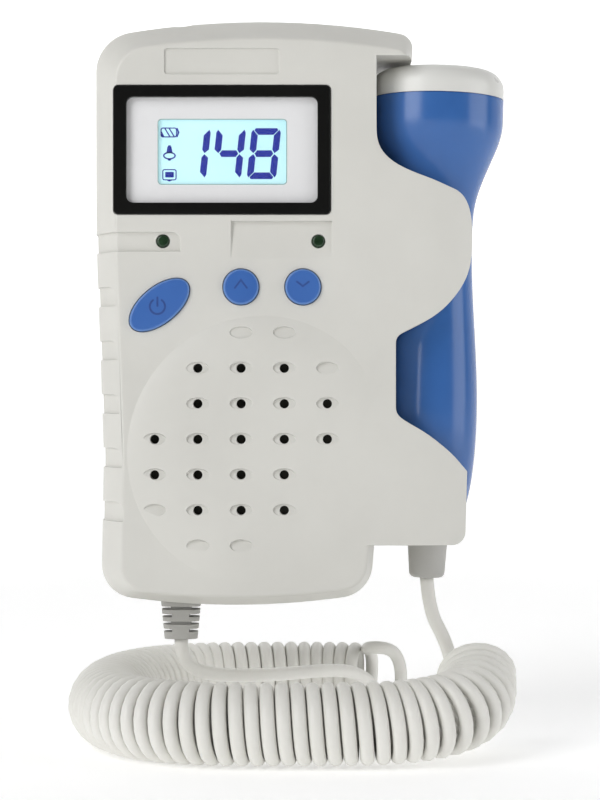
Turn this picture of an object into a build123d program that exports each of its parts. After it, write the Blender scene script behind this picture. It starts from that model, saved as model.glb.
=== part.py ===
from build123d import *
import math
import os

# Fetal doppler monitor, in millimetres.
# +X to the right, +Y to the rear, +Z up. The front faces -Y.
# The origin is the centre of the flat back.

# ---------------------------------------------------------------- driving sizes
DEPTH = 35.0  # front plane to back plane
WALL = 2.2  # housing wall
BEVEL_DEPTH = 8.0  # depth of the bevel round the front

TOP_APEX = (-8.8, 67.7)  # highest point of the arched top edge
TOP_RADIUS = 190.0
BOTTOM_APEX = (-15.0, -67.3)  # lowest point of the arched bottom edge
BOTTOM_RADIUS = 180.0
LEFT_TOP_X = -47.3
LEFT_UPPER = (-47.2, 16.5)  # the left side leans in between these two
LEFT_LOWER = (-45.5, -33.0)
LEFT_BOTTOM_X = -46.1
RIGHT_TOP = (26.3, 66.0)  # the right side runs from the end of the lip
RIGHT_BOTTOM = (16.3, -62.0)  # down to the foot
CORNERS = (9.3, 3.6, 7.9, 7.9)  # top left, top right, bottom right, bottom left
FRONT_INSETS = (5.3, 5.3, 1.5, 2.5)  # left, top, right, bottom, at the front plane
FRONT_CORNERS = (7.6, 3.0, 6.0, 6.0)
BEVEL_ROUND = 6.0
REAR_ROUND = 5.0
FRONT_ROUND = 0.8
PARTING_GROOVE = 0.3

# probe dock
PROBE_X = 31.16  # where the probe's axis crosses z = 0
PROBE_TILT = 1.22  # degrees, the head leans to the right
DOCK_GAP = 0.4  # running clearance round the docked probe
WAY_GAP = 0.1  # the way out is this much wider on each side
DOCK_WALL = 2.0  # wall between the head's notch and the inside
HOLDER_LEFT = 5.0
HOLDER_TOP = 50.0
HOLDER_FLOOR = -53.0  # underside of the pocket
HOLDER_RIGHT = (40.6, 37.8)  # right side, at the top and at the floor
HOLDER_CORNER = 3.0
NOSE_START = 25.4  # the front and the back turn in from here
NOSE_RADIUS = 28.0
LIP_UNDERSIDE = 58.5
NOTCH_LEFT = 17.4  # left edge of the head's notch
NOTCH_BEND = 42.0  # where that edge starts to turn into the flap
FLAP_TIP = (39.5, 17.7)  # furthest point of the flap
FLAP_RISE = ((18.4, 37.4), (22.0, 33.9), (28.6, 31.0))  # its upper edge
FLAP_SHOULDER = (35.3, 28.3)
FLAP_FALL = ((38.0, 8.0), (32.6, 0.85))  # its lower edge
FLAP_HEEL = (23.6, -4.5)
GAP_LEFT = 21.8  # left edge of the opening between flap and pocket
GAP_ENDS = (-7.0, -21.5)
POCKET_RISE = ((23.6, -24.4), (28.3, -27.2), (34.1, -31.7))
POCKET_TIP = (38.6, -36.6)

# probe
HEAD_RADIUS = 15.7
HEAD_TOP = 58.1
RING_LEVEL = 50.7  # joint of the white cap and the blue housing
RING_GROOVE = 0.3
SHOULDER_LEVEL = 46.0
NECK = ((13.4, 37.0), (10.6, 30.0))
WAIST = (9.0, 17.8)
HANDLE = (11.0, -23.0)
HANDLE_TAPER = ((10.4, -35.5), (8.6, -45.5))
PROBE_BOTTOM = -50.0
PROBE_END = 6.6  # radius of its flat end
PROBE_WALL = 1.8
CAP_SIDE = 2.2  # straight side of the cap above the joint
CAP_ROUND = 4.6
CAP_CROWN = 0.7
CAP_WALL = 1.9
SPIGOT = 3.2
SPIGOT_GAP = 0.1
CRYSTAL_RADIUS = 10.5
CRYSTAL_THICK = 1.0
CRYSTAL_SPLIT = 1.2
CONE_RADII = (4.9, 4.1)
CONE_BOTTOM = -61.6
CONE_NECK = 3.4
CONE_FLANGE = (4.4, 1.4)
CONE_GAP = 0.1
PROBE_BOARD_THICK = 1.6
PROBE_BOARD_GAP = 0.2
PROBE_BOARD_END = -20.0
PROBE_TRAVEL = 30.0

# display
BEZEL_CENTRE = (-17.76, 37.0)
BEZEL_SIZE = (49.3, 29.15)
BEZEL_CORNER = 1.0
BEZEL_PROUD = 0.3
BEZEL_SEAT = 1.2  # depth of the ledge that it sits on
WINDOW_SIZE = (43.5, 24.1)
WINDOW_CORNER = 1.6
LENS_THICK = 1.1
MASK_SIZE = (46.3, 26.2)
MASK_THICK = 0.6
LCD_CENTRE = (-17.7, 36.6)
LCD_VIEW = (29.4, 14.9)
LCD_SIZE = (34.0, 20.0)
LCD_THICK = 2.0
LIGHT_SIZE = (36.0, 22.0)
LIGHT_THICK = 2.0
FIT_GAP = 0.2  # clearance round pieces set into the front

# board
BOARD_THICK = 1.6
BOARD_X = (-41.0, 12.3)
BOARD_Z = (-6.6, 54.0)
BOARD_TAB = (-34.0, -20.0, 61.4)
PEG_RADIUS = 1.8
PEGS = ((9.6, 50.2), (9.6, -3.6), (-38.6, 11.0), (-37.0, 52.4))

# buttons
BUTTON_TRAVEL = 0.8
BUTTON_GAP = 0.18
BUTTON_PROUD = 0.9
BUTTON_ROUND = 0.6
FLANGE_THICK = 0.7
FLANGE_WIDE = 1.1
FLANGE_CLEAR = 0.15
POWER_CENTRE = (-31.95, 1.7)
POWER_RADII = (8.1, 4.15)
POWER_TILT = 39.0
UP_CENTRE = (-13.42, 5.8)
DOWN_CENTRE = (0.66, 5.8)
ROUND_RADIUS = 4.05
SWITCH_SIZE = 6.0
SWITCH_STEM = 1.7
STEM_GAP = 0.05  # between a pressed button and its switch

# lamps
LED_RADIUS = 1.5
LED_GAP = 0.1
LED_PROUD = 0.3
POWER_LED = (-31.2, 16.25)
SIGNAL_LED = (4.18, 16.2)

# recesses in the front
LABEL_BOX = (-30.9, -4.7, 54.2, 60.1)  # left, right, bottom, top
LABEL_DEPTH = 0.4
PLATE_BOX = (-15.7, 7.3, 12.4, 20.8)
PLATE_DEPTH = 0.9
GRIP_TOP = 18.3  # the first of the grips holds the lamp
GRIP_PITCH = 12.3
GRIP_HEIGHT = 4.43
GRIP_COUNT = 5
GRIP_DEPTH = 0.7
GRIP_RIGHT = -42.2
GRIP_DRIFT = 0.5
GRIP_REAR = -21.0
LAMP_SLOT_RIGHT = -27.2

# loudspeaker grille
DOME_CENTRE = (-3.07, -34.7)
DOME_FLAT = 23.5  # radius of its flat middle
DOME_CURVE = 43.0  # radius of the roll round it
DOME_ROLL = 16.0
DOME_LIFT = 0.45  # height of its centre above the front
DOME_SLOPE = 2.6  # degrees
DOME_LEAN = 152.0  # degrees, the side on which it stands highest
GRID_ORIGIN = (-33.0, -4.6)
GRID_STEP = (9.81, -8.08)
HOLE_RADIUS = 1.05
DIMPLE = (2.55, 1.35)
DIMPLE_DEPTH = 0.7
OPEN_HOLES = {1: (1, 2, 3), 2: (1, 2, 3, 4), 3: (0, 1, 2, 3, 4), 4: (0, 1, 2, 3), 5: (1, 2, 3)}
BLIND_HOLES = {0: (2, 3), 1: (4,), 5: (0,), 6: (1, 2)}

# loudspeaker
SPEAKER_CENTRE = (-13.4, -29.0)
SPEAKER_RADIUS = 20.0
SPEAKER_FLANGE = 1.2
SPEAKER_STEP = 0.5
SPEAKER_RIM = 2.5
SPEAKER_DEPTH = 7.0
SPEAKER_BACK = 12.0  # radius of its back plate
SPEAKER_RIB = 1.4
SPEAKER_GAP = 0.2
SHEET = 0.8
MAGNET_RADIUS = 9.0
MAGNET_DEPTH = 4.0

# batteries, two AA cells
CELL_RADIUS = 7.15
CELL_LENGTH = 50.0
CELL_TIP = (2.7, 1.0)
CELL_GAP = 0.2
CONTACT_THICK = 0.4
CONTACT_WIDTH = 10.0
SPRING_HEIGHT = 2.2
SPRING_RADII = (4.4, 2.8)
BAY_CENTRE = -17.0
BAY_BOTTOM = -60.0  # the foot of the bay stays above the strain relief
BAY_WALL = 1.2
COVER_THICK = 2.2
COVER_LAP = 2.4  # how far the cover laps the bay's inside
COVER_GAP = 0.2
COVER_RISE = 2.4
TONGUE = 0.7
COVER_TRAVEL = 12.0
COVER_GRIPS = (4, 7.0, 2.4)  # thumb grooves: count, distance of the first below the cover's top, pitch
COVER_GRIP = (0.5, 14.0)  # radius and length of a groove
LEDGE = 1.4

# case screws
SCREW_PLACES = ((-38.5, 58.0), (8.6, 58.6), (-38.8, -58.0), (8.6, -58.6))
BOSS_RADIUS = 3.4
SCREW_HEAD = (2.75, 2.0)
SCREW_SHANK = 1.4
HEAD_GAP = 0.3
SCREW_SEAT = 8.5  # depth of the head's seat below the back
SCREW_BITE = 7.0  # how far it goes into the front shell
SCREW_GAP = 0.05

# headphone socket
JACK_X = -27.0
JACK_BORE = 1.8
JACK_BARREL = 2.9
JACK_DEPTH = 14.0
JACK_SIZE = 6.0
JACK_BODY = (51.0, 63.2)
JACK_TOP = 66.2
JACK_GAP = 0.2

# cord
CORD_RADIUS = 1.55
COIL_RADIUS = 9.3
FLOOR_Z = -101.0
RELIEF_X = -28.0
RELIEF_BOTTOM = -76.0
RELIEF_WIDTHS = (9.4, 7.8)
RELIEF_THICK = (6.4, 5.4)
RELIEF_NECK = (7.4, 4.6)
RELIEF_FLANGE = (11.0, 7.6, 1.6)
RELIEF_GROOVES = 4
RELIEF_PITCH = 1.75
RELIEF_GAP = 0.3  # the foot is slightly curved where it passes through

# ---------------------------------------------------------------- levels that follow
FRONT_Y = -DEPTH
SPLIT_Y = -DEPTH / 2
BEVEL_Y = FRONT_Y + BEVEL_DEPTH
INNER_FRONT = FRONT_Y + WALL
LEDGE_Y = FRONT_Y + BEZEL_SEAT
MASK_BACK = LEDGE_Y + MASK_THICK
LCD_BACK = MASK_BACK + LCD_THICK
BOARD_FRONT = LCD_BACK + LIGHT_THICK
BOARD_BACK = BOARD_FRONT + BOARD_THICK
FLANGE_FRONT = INNER_FRONT + FLANGE_CLEAR
FLANGE_BACK = FLANGE_FRONT + FLANGE_THICK
BAY_INNER = (
    BAY_CENTRE - 2 * CELL_RADIUS - CELL_GAP,
    BAY_CENTRE + 2 * CELL_RADIUS + CELL_GAP,
)
BAY_TOP = BAY_BOTTOM + CELL_LENGTH + 2 * CONTACT_THICK + SPRING_HEIGHT
BAY_FRONT = -COVER_THICK - 2 * CELL_RADIUS - CELL_GAP
COVER_X = (BAY_INNER[0] - COVER_LAP, BAY_INNER[1] + COVER_LAP)
COVER_TOP = BAY_TOP + COVER_RISE
JACK_Y = BOARD_BACK + JACK_SIZE / 2
COIL_Z = FLOOR_Z + COIL_RADIUS
PROBE = Pos(PROBE_X, SPLIT_Y, 0) * Rot(0, PROBE_TILT, 0)
HEAD_X = PROBE_X + math.tan(math.radians(PROBE_TILT)) * RING_LEVEL
CAVITY_RIGHT = HEAD_X - HEAD_RADIUS - DOCK_GAP - DOCK_WALL

FAR = 120.0  # beyond everything


# ---------------------------------------------------------------- helpers
def at_depth(y):
    """The plane of a front view at depth y: local x is X and local y is Z."""
    return Plane(origin=(0, y, 0), x_dir=(1, 0, 0), z_dir=(0, -1, 0))


def prism(sketch, front, back):
    """A front-view sketch made solid between two depths."""
    return extrude(at_depth(back) * sketch, amount=back - front)


def rod(centre, radius, front, back):
    return prism(Pos(*centre) * Circle(radius), front, back)


def block(x, y, z):
    """A box between two values of x, y and z."""
    size = [b - a for a, b in (x, y, z)]
    middle = [(a + b) / 2 for a, b in (x, y, z)]
    return Pos(*middle) * Box(*size)


def rounded(centre, size, corner):
    return Pos(*centre) * RectangleRounded(size[0], size[1], corner)


def box_sketch(box, corner):
    left, right, bottom, top = box
    centre = ((left + right) / 2, (bottom + top) / 2)
    return rounded(centre, (right - left, top - bottom), corner)


def grown(size, gap):
    return tuple(s + 2 * gap for s in size)


def group(pieces):
    """Separate solids that share one node."""
    return Compound(children=[s for piece in pieces for s in piece.solids()])


def turned(points):
    """A solid of revolution about Z from (radius, level) corners."""
    return revolve(Plane.XZ * Polygon(*points, align=None), Axis.Z)


# ---------------------------------------------------------------- housing
def top_edge(x):
    return TOP_APEX[1] - (x - TOP_APEX[0]) ** 2 / (2 * TOP_RADIUS)


def bottom_edge(x):
    return BOTTOM_APEX[1] + (x - BOTTOM_APEX[0]) ** 2 / (2 * BOTTOM_RADIUS)


def body_outline(insets, corners):
    """Front view of the main body, each side moved in by its own inset."""
    left, top, right, bottom = insets
    x_top_left = LEFT_TOP_X + left
    x_bottom_left = LEFT_BOTTOM_X + left
    x_top_right = RIGHT_TOP[0] - right
    x_bottom_right = RIGHT_BOTTOM[0] - right
    top_left = (x_top_left, top_edge(x_top_left) - top)
    top_right = (x_top_right, top_edge(x_top_right) - top)
    bottom_right = (x_bottom_right, bottom_edge(x_bottom_right) + bottom)
    bottom_left = (x_bottom_left, bottom_edge(x_bottom_left) + bottom)
    upper = (LEFT_UPPER[0] + left, LEFT_UPPER[1])
    lower = (LEFT_LOWER[0] + left, LEFT_LOWER[1])
    edges = [
        ThreePointArc(top_left, (TOP_APEX[0], TOP_APEX[1] - top), top_right),
        Line(top_right, bottom_right),
        ThreePointArc(bottom_right, (BOTTOM_APEX[0], BOTTOM_APEX[1] + bottom), bottom_left),
        Line(bottom_left, lower),
        Line(lower, upper),
        Line(upper, top_left),
    ]
    face = make_face(edges)
    for corner, radius in zip((top_left, top_right, bottom_right, bottom_left), corners):
        vertex = face.vertices().sort_by_distance((corner[0], corner[1], 0))[0]
        face = fillet(vertex, radius)
    return face


def body_block(inset=0.0):
    """The main body as a plain solid, or the same form moved in by inset."""
    share = 1 - inset / BEVEL_DEPTH
    outline = body_outline((inset,) * 4, [r - inset for r in CORNERS])
    front = body_outline([inset + share * i for i in FRONT_INSETS], [r - inset for r in FRONT_CORNERS])
    rear = prism(outline, BEVEL_Y, -inset)
    bevel = loft([at_depth(BEVEL_Y) * outline, at_depth(FRONT_Y + inset) * front], ruled=True)
    return rear + bevel


def ring_edges(solid, y):
    """The edges that lie flat at depth y."""
    return [e for e in solid.edges() if max(abs(v.Y - y) for v in (e @ 0, e @ 0.5, e @ 1)) < 0.01]


def rounded_body():
    body = body_block()
    body = fillet(ring_edges(body, BEVEL_Y), BEVEL_ROUND)
    body = fillet(ring_edges(body, 0), REAR_ROUND)
    return fillet(ring_edges(body, FRONT_Y), FRONT_ROUND)


def holder_block():
    """The flap and the pocket before the probe's space is cut from them."""
    outline = Polygon(
        (HOLDER_LEFT, HOLDER_FLOOR),
        (HOLDER_RIGHT[1], HOLDER_FLOOR),
        (HOLDER_RIGHT[0], HOLDER_TOP),
        (HOLDER_LEFT, HOLDER_TOP),
        align=None,
    )
    corner = outline.vertices().sort_by_distance((HOLDER_RIGHT[1], HOLDER_FLOOR, 0))[0]
    outline = fillet(corner, HOLDER_CORNER)
    reach = HOLDER_RIGHT[0] - NOSE_START + 1
    drop = NOSE_RADIUS - math.sqrt(NOSE_RADIUS**2 - reach**2)
    half = reach / 2
    half_drop = NOSE_RADIUS - math.sqrt(NOSE_RADIUS**2 - half**2)
    plan = make_face(
        [
            Line((HOLDER_LEFT, FRONT_Y), (NOSE_START, FRONT_Y)),
            ThreePointArc(
                (NOSE_START, FRONT_Y),
                (NOSE_START + half, FRONT_Y + half_drop),
                (NOSE_START + reach, FRONT_Y + drop),
            ),
            Line((NOSE_START + reach, FRONT_Y + drop), (NOSE_START + reach, -drop)),
            ThreePointArc((NOSE_START + reach, -drop), (NOSE_START + half, -half_drop), (NOSE_START, 0)),
            Line((NOSE_START, 0), (HOLDER_LEFT, 0)),
            Line((HOLDER_LEFT, 0), (HOLDER_LEFT, FRONT_Y)),
        ]
    )
    return prism(outline, FRONT_Y, 0) & extrude(Pos(0, 0, -FAR) * plan, amount=2 * FAR)


def notch_edges():
    """The edge of the head's notch, from the lip down to the tip of the flap."""
    bend = (NOTCH_LEFT, NOTCH_BEND)
    top = (NOTCH_LEFT, LIP_UNDERSIDE)
    return [
        Line((FAR, LIP_UNDERSIDE), top),
        Line(top, bend),
        Spline(bend, *FLAP_RISE, FLAP_SHOULDER, tangents=((0, -1), (1, -0.42))),
        Spline(FLAP_SHOULDER, FLAP_TIP, tangents=((1, -0.42), (0, -1))),
    ]


def front_dock():
    """What is open to the front, right of the flap and the pocket."""
    gap_top = (GAP_LEFT, GAP_ENDS[0])
    gap_end = (GAP_LEFT, GAP_ENDS[1])
    edges = notch_edges() + [
        Spline(FLAP_TIP, *FLAP_FALL, FLAP_HEEL, tangents=((0, -1), (-1, -0.5))),
        Spline(FLAP_HEEL, gap_top, tangents=((-1, -0.5), (0, -1))),
        Line(gap_top, gap_end),
        Spline(gap_end, *POCKET_RISE, POCKET_TIP, tangents=((0, -1), (1, -1.15))),
        Line(POCKET_TIP, (FAR, POCKET_TIP[1])),
        Line((FAR, POCKET_TIP[1]), (FAR, LIP_UNDERSIDE)),
    ]
    return prism(make_face(edges), FRONT_Y - 5, SPLIT_Y)


def rear_dock():
    """The head's notch goes through to the back."""
    edges = notch_edges() + [
        Line(FLAP_TIP, (FAR, FLAP_TIP[1])),
        Line((FAR, FLAP_TIP[1]), (FAR, LIP_UNDERSIDE)),
    ]
    return prism(make_face(edges), SPLIT_Y, 5)


def probe_half(grow, top, bottom):
    """Half of the probe's long section, from its axis, in the local XZ plane."""
    side = (HEAD_RADIUS + grow, SHOULDER_LEVEL)
    neck = [(r + grow, z) for r, z in NECK]
    waist = (WAIST[0] + grow, WAIST[1])
    handle = (HANDLE[0] + grow, HANDLE[1])
    taper = [(r + grow, z) for r, z in HANDLE_TAPER]
    end = (PROBE_END + grow, bottom)
    down = (0, -1)
    edges = [
        Line((0, top), (side[0], top)),
        Line((side[0], top), side),
        Spline(side, *neck, waist, tangents=(down, down)),
        Spline(waist, handle, tangents=(down, down)),
        Spline(handle, *taper, end, tangents=(down, (-1, -1.2))),
        Line(end, (0, bottom)),
        Line((0, bottom), (0, top)),
    ]
    return Plane.XZ * make_face(edges)


def probe_cone(grow):
    """Half of the strain relief's long section, with room all round."""
    wide = CONE_RADII[0] + grow
    corners = ((0, PROBE_BOTTOM + 2), (wide, PROBE_BOTTOM + 2), (wide, CONE_BOTTOM), (0, CONE_BOTTOM))
    return Plane.XZ * Polygon(*corners, align=None)


def dock_space():
    """The room that the probe needs, and its way out to the right."""
    spaces = []
    top = HEAD_TOP + DOCK_GAP / 2
    bottom = PROBE_BOTTOM - DOCK_GAP
    way = DOCK_GAP + WAY_GAP
    spaces.append(PROBE * revolve(probe_half(DOCK_GAP, top, bottom), Axis.Z))
    spaces.append(PROBE * revolve(probe_cone(DOCK_GAP), Axis.Z))
    for half in (probe_half(way, top, bottom), probe_cone(way)):
        section = Rot(0, 0, 90) * half
        section += mirror(section, Plane.XZ)
        spaces.append(extrude(PROBE * (Pos(2 * WAY_GAP, 0, 0) * section), amount=60, dir=(1, 0, 0)))
    return spaces


def housing():
    """Both shells in one piece, hollow."""
    body = rounded_body() + holder_block()
    body = body - front_dock() - rear_dock()
    for space in dock_space():
        body -= space
    return body - (body_block(WALL) & block((-FAR, CAVITY_RIGHT), (-FAR, FAR), (-FAR, FAR)))


def kept_inside(feature):
    """An inner feature, kept inside the middle of the housing's wall."""
    return feature & body_block(WALL / 2)


# ---------------------------------------------------------------- loudspeaker dome
def dome_drop(past):
    """How far the rolled rim has dropped at this distance past the flat."""
    past = min(max(past, 0.0), DOME_ROLL)
    return DOME_CURVE - math.sqrt(DOME_CURVE**2 - past**2)


def dome():
    """A low disc with a rolled rim, tilted so that one side sinks into the front."""
    edge = DOME_FLAT + DOME_ROLL
    low = -dome_drop(DOME_ROLL)
    half = DOME_ROLL / 2
    edges = [
        Line((0, low), (edge, low)),
        ThreePointArc((edge, low), (DOME_FLAT + half, -dome_drop(half)), (DOME_FLAT, 0)),
        Line((DOME_FLAT, 0), (0, 0)),
        Line((0, 0), (0, low)),
    ]
    disc = revolve(Plane.XZ * make_face(edges), Axis.Z)
    centre = Pos(DOME_CENTRE[0], DOME_CENTRE[1], DOME_LIFT)
    disc = at_depth(FRONT_Y) * (centre * Rot(0, 0, DOME_LEAN) * Rot(0, -DOME_SLOPE, 0) * disc)
    front = body_outline(FRONT_INSETS, FRONT_CORNERS)
    return disc & prism(front, FRONT_Y - 5, FRONT_Y + 0.5)


def dome_height(x, z):
    dx = x - DOME_CENTRE[0]
    dz = z - DOME_CENTRE[1]
    lean = math.radians(DOME_LEAN)
    along = dx * math.cos(lean) + dz * math.sin(lean)
    plane = DOME_LIFT + along * math.tan(math.radians(DOME_SLOPE))
    return max(0.0, plane - dome_drop(math.hypot(dx, dz) - DOME_FLAT))


def grid_place(row, column):
    return (GRID_ORIGIN[0] + column * GRID_STEP[0], GRID_ORIGIN[1] + row * GRID_STEP[1])


def dimple(place):
    """A tilted oval cut, deepest at its upper end and level at its lower one."""
    surface = FRONT_Y - dome_height(*place)
    tilt = math.degrees(math.atan(DIMPLE_DEPTH / (2 * DIMPLE[1])))
    oval = extrude(Ellipse(*DIMPLE), amount=3)
    return at_depth(surface) * (Pos(place[0], place[1], -DIMPLE_DEPTH / 2) * Rot(-tilt, 0, 0) * oval)


# ---------------------------------------------------------------- buttons and lamps
def power_sketch(grow=0.0):
    a, b = POWER_RADII
    return Pos(*POWER_CENTRE) * Rot(0, 0, POWER_TILT) * Ellipse(a + grow, b + grow)


def up_sketch(grow=0.0):
    return Pos(*UP_CENTRE) * Circle(ROUND_RADIUS + grow)


def down_sketch(grow=0.0):
    return Pos(*DOWN_CENTRE) * Circle(ROUND_RADIUS + grow)


BUTTONS = {
    "power_button": (power_sketch, POWER_CENTRE),
    "up_button": (up_sketch, UP_CENTRE),
    "down_button": (down_sketch, DOWN_CENTRE),
}


def button(sketch):
    cap = prism(sketch(), FRONT_Y - BUTTON_PROUD, FLANGE_BACK)
    cap = fillet(ring_edges(cap, FRONT_Y - BUTTON_PROUD), BUTTON_ROUND)
    return cap + prism(sketch(FLANGE_WIDE), FLANGE_FRONT, FLANGE_BACK)


def tact_switch(centre):
    stem_front = FLANGE_BACK + BUTTON_TRAVEL + STEM_GAP
    body = prism(rounded(centre, (SWITCH_SIZE, SWITCH_SIZE), 0.5), stem_front + 0.5, BOARD_FRONT)
    return body + rod(centre, SWITCH_STEM, stem_front, BOARD_FRONT)


def lamp(centre, surface):
    front = surface - LED_PROUD
    body = rod(centre, LED_RADIUS, front, BOARD_FRONT)
    return fillet(ring_edges(body, front), LED_RADIUS * 0.4)


def plate_floor(z):
    """Depth of the sloping plate recess at height z."""
    bottom, top = PLATE_BOX[2:]
    return FRONT_Y + PLATE_DEPTH * (z - bottom) / (top - bottom)


POWER_LED_FLOOR = FRONT_Y + GRIP_DEPTH
SIGNAL_LED_FLOOR = plate_floor(SIGNAL_LED[1])


# ---------------------------------------------------------------- front shell
def grips():
    """Strips of the left edge that are cut to one depth, so they follow the bevel."""
    strips = []
    for i in range(GRIP_COUNT + 1):
        top = GRIP_TOP - i * GRIP_PITCH
        right = GRIP_RIGHT + (i - 1) * GRIP_DRIFT if i else LAMP_SLOT_RIGHT
        left = LEFT_TOP_X - 5
        strip = Polygon((left, top - GRIP_HEIGHT), (right, top - GRIP_HEIGHT), (right, top), (left, top), align=None)
        corner = strip.vertices().sort_by_distance((right, top, 0))[0]
        strip = fillet(corner, GRIP_HEIGHT * 0.45)
        strips.append(prism(strip, FRONT_Y - 5, GRIP_REAR))
    core = body_block(GRIP_DEPTH)
    return [strip - core for strip in strips]


def plate_recess():
    left, right, bottom, top = PLATE_BOX
    wedge = Plane.YZ * Polygon(
        (FRONT_Y, bottom), (FRONT_Y + PLATE_DEPTH, top), (FRONT_Y - 3, top), (FRONT_Y - 3, bottom), align=None
    )
    return Pos(left, 0, 0) * extrude(wedge, amount=right - left)


def relief_hole():
    wide, thick = RELIEF_NECK
    hole = Rectangle(wide + 2 * FIT_GAP, thick + 2 * FIT_GAP)
    return Pos(RELIEF_X, SPLIT_Y, bottom_edge(RELIEF_X) - 3) * extrude(hole, amount=8)


def jack_hole():
    barrel = Circle(JACK_BARREL + JACK_GAP)
    return Pos(JACK_X, JACK_Y, JACK_BODY[1]) * extrude(barrel, amount=8)


def screw_boss(place, front, back):
    return kept_inside(rod(place, BOSS_RADIUS, front, back))


def front_shell(both):
    shell = both & block((-FAR, FAR), (-FAR, SPLIT_Y), (-FAR, FAR))
    shell += dome()
    for cut in grips():
        shell -= cut
    hole = grown(MASK_SIZE, FIT_GAP)
    seat = grown(BEZEL_SIZE, FIT_GAP)
    shell -= prism(rounded(BEZEL_CENTRE, hole, BEZEL_CORNER), FRONT_Y - 5, INNER_FRONT + 1)
    shell -= prism(rounded(BEZEL_CENTRE, seat, BEZEL_CORNER + FIT_GAP), FRONT_Y - 5, LEDGE_Y)
    shell -= prism(box_sketch(LABEL_BOX, 0.8), FRONT_Y - 5, FRONT_Y + LABEL_DEPTH)
    shell -= plate_recess()
    for place in PEGS:
        shell += kept_inside(rod(place, PEG_RADIUS, INNER_FRONT - 0.5, BOARD_FRONT))
    rib = SPEAKER_RADIUS + SPEAKER_GAP
    ring = rod(SPEAKER_CENTRE, rib + SPEAKER_RIB, INNER_FRONT - 0.3, INNER_FRONT + SPEAKER_RIM)
    ring -= rod(SPEAKER_CENTRE, rib, INNER_FRONT - 1, INNER_FRONT + SPEAKER_DEPTH)
    shell += kept_inside(ring)
    for place in SCREW_PLACES:
        shell += screw_boss(place, INNER_FRONT - 1, SPLIT_Y)
        shell -= rod(place, SCREW_SHANK + SCREW_GAP, SPLIT_Y - SCREW_BITE - 1, SPLIT_Y + 1)
    for sketch, _ in BUTTONS.values():
        shell -= prism(sketch(BUTTON_GAP), FRONT_Y - 5, INNER_FRONT + 1)
    for place in (POWER_LED, SIGNAL_LED):
        shell -= rod(place, LED_RADIUS + LED_GAP, FRONT_Y - 5, INNER_FRONT + 1)
    for row, columns in list(OPEN_HOLES.items()) + list(BLIND_HOLES.items()):
        for column in columns:
            shell -= dimple(grid_place(row, column))
    for row, columns in OPEN_HOLES.items():
        for column in columns:
            shell -= rod(grid_place(row, column), HOLE_RADIUS, FRONT_Y - 5, INNER_FRONT + 0.01)
    return shell - relief_hole() - jack_hole()


# ---------------------------------------------------------------- rear shell and battery bay
def bay_box(grow, rear):
    return block(
        (BAY_INNER[0] - grow, BAY_INNER[1] + grow),
        (BAY_FRONT - grow, rear),
        (BAY_BOTTOM - grow, BAY_TOP + grow),
    )


def cover_space(gap):
    """The plate of the battery cover, down past the foot, with its two tongues."""
    left = COVER_X[0] - gap
    right = COVER_X[1] + gap
    top = COVER_TOP + gap
    plate = block((left, right), (-COVER_THICK, 5), (-FAR, top))
    middle = -COVER_THICK / 2
    y = (middle - TONGUE / 2 - gap / 2, middle + TONGUE / 2 + gap / 2)
    for x in ((left - TONGUE, left + 1), (right - 1, right + TONGUE)):
        plate += block(x, y, (-FAR, top - REAR_ROUND))
    return plate


def rear_shell(both):
    shell = both & block((-FAR, FAR), (SPLIT_Y, FAR), (-FAR, FAR))
    groove = prism(body_outline((0,) * 4, CORNERS), SPLIT_Y, SPLIT_Y + PARTING_GROOVE)
    groove -= prism(body_outline((PARTING_GROOVE,) * 4, CORNERS), SPLIT_Y - 1, SPLIT_Y + 2)
    shell -= groove - block((NOTCH_LEFT - 3, FAR), (-FAR, FAR), (HOLDER_FLOOR, LIP_UNDERSIDE))
    for place in SCREW_PLACES:
        shell += screw_boss(place, SPLIT_Y, -WALL + 1)
    ledge = block((COVER_X[0] - LEDGE, COVER_X[1] + LEDGE), (-COVER_THICK - LEDGE, -COVER_THICK),
                  (bottom_edge(BAY_CENTRE), COVER_TOP + LEDGE))
    shell += kept_inside(ledge)
    shell += bay_box(BAY_WALL, -COVER_THICK)
    shell -= bay_box(0, -COVER_THICK + 0.01)
    shell -= cover_space(COVER_GAP)
    for place in SCREW_PLACES:
        shell -= rod(place, SCREW_HEAD[0] + HEAD_GAP, -SCREW_SEAT, 5)
        shell -= rod(place, SCREW_SHANK + SCREW_GAP + 0.2, SPLIT_Y - 1, 0)
    return shell - relief_hole() - jack_hole()


def battery_cover(body):
    cover = cover_space(0) & body
    count, first, pitch = COVER_GRIPS
    for i in range(count):
        z = COVER_TOP - first - pitch * i
        cover -= Pos(BAY_CENTRE, 0, z) * Rot(0, 90, 0) * Cylinder(*COVER_GRIP)
    return cover


def cell(centre, points_up):
    """An AA cell with its raised end up or down."""
    x, y = centre
    top = BAY_TOP - CONTACT_THICK
    if not points_up:
        top -= SPRING_HEIGHT
    tip_radius, tip = CELL_TIP
    can = Pos(0, 0, -CELL_LENGTH + (CELL_LENGTH - tip) / 2) * Cylinder(CELL_RADIUS, CELL_LENGTH - tip)
    can = fillet(can.edges(), 0.5)
    can += Pos(0, 0, -tip / 2) * Cylinder(tip_radius, tip)
    if points_up:
        return Pos(x, y, top) * can
    return Pos(x, y, top - CELL_LENGTH) * Rot(180, 0, 0) * can


def cell_places():
    y = BAY_FRONT + CELL_RADIUS + CELL_GAP / 2
    return [(BAY_CENTRE - CELL_RADIUS - CELL_GAP / 2, y), (BAY_CENTRE + CELL_RADIUS + CELL_GAP / 2, y)]


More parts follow.
